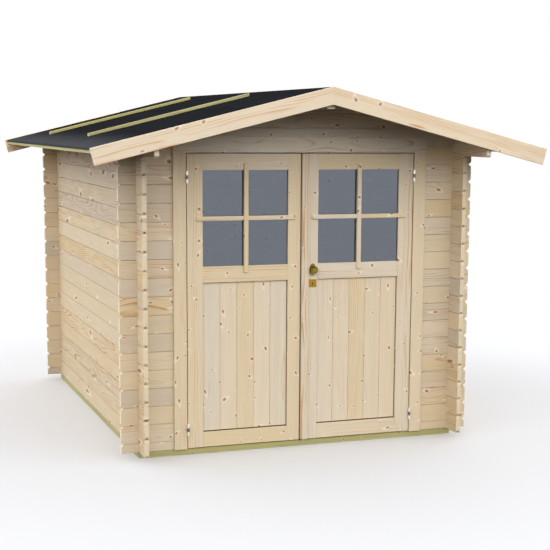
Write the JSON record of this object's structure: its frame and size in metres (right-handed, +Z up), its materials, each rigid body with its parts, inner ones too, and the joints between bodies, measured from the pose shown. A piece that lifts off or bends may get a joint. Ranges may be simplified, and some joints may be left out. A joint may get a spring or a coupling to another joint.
{
  "type": "wooden garden shed",
  "caption": "Garden shed of interlocking wooden boards with crossing corners, a felted pitched roof over a deep front overhang, and hinged half-glazed doors that open outwards.",
  "frame": {"origin": "centre of the base, on its underside, midway between the outer wall faces", "axes": "+X to the right as seen from the doors, -Y out of the door front, +Z up"},
  "size_m": [2.94, 3.522, 2.315],
  "materials": {
    "wall_spruce": "planed, untreated",
    "planed_spruce": "planed, untreated",
    "joinery_spruce": "sanded, untreated",
    "roof_spruce": "planed, untreated",
    "floor_spruce": "planed, untreated",
    "treated_pine": "pressure treated",
    "bitumen_felt": "mineral grit",
    "window_glass": "clear",
    "lacquered_brass": "lacquered",
    "zinc_plated_steel": "zinc plated"
  },
  "bodies": {
    "shed": {"back_wall": "wall_spruce", "bargeboard_back_left": "planed_spruce", "bargeboard_back_right": "planed_spruce", "bargeboard_front_left": "planed_spruce", "bargeboard_front_right": "planed_spruce", "base_rail_back": "treated_pine", "base_rail_front": "treated_pine", "base_rail_left": "treated_pine", "base_rail_right": "treated_pine", "door_head": "joinery_spruce", "door_jamb_left": "joinery_spruce", "door_jamb_right": "joinery_spruce", "door_sill": "joinery_spruce", "door_stops": "joinery_spruce", "eaves_purlin_left": "wall_spruce", "eaves_purlin_right": "wall_spruce", "eaves_strip_left": "treated_pine", "eaves_strip_right": "treated_pine", "felt_battens_left": "treated_pine", "felt_battens_right": "treated_pine", "floor_bearers": "treated_pine", "floor_deck": "floor_spruce", "front_gable": "wall_spruce", "front_wall_left": "wall_spruce", "front_wall_right": "wall_spruce", "left_hinge_pins": "zinc_plated_steel", "left_wall": "wall_spruce", "ridge_purlin": "wall_spruce", "right_hinge_pins": "zinc_plated_steel", "right_wall": "wall_spruce", "roof_deck_left": "roof_spruce", "roof_deck_right": "roof_spruce", "roof_felt_left": "bitumen_felt", "roof_felt_right": "bitumen_felt"},
    "left_door": {"left_door_frame": "joinery_spruce", "left_door_glass": "window_glass", "left_door_panel": "joinery_spruce", "left_hinge_sleeves": "zinc_plated_steel"},
    "right_door": {"right_door_frame": "joinery_spruce", "right_door_glass": "window_glass", "right_door_panel": "joinery_spruce", "right_hinge_sleeves": "zinc_plated_steel", "meeting_strip": "joinery_spruce", "door_knob": "lacquered_brass", "lock_plate": "lacquered_brass"}
  },
  "joints": [
    {"name": "left_door_hinge", "type": "hinge", "parent": "shed", "child": "left_door", "pos_m": [-0.772, -1.418, 0.965], "axis": [0, 0, -1], "range_deg": [0, 110]},
    {"name": "right_door_hinge", "type": "hinge", "parent": "shed", "child": "right_door", "pos_m": [0.772, -1.418, 0.965], "axis": [0, 0, 1], "range_deg": [0, 110]}
  ]
}
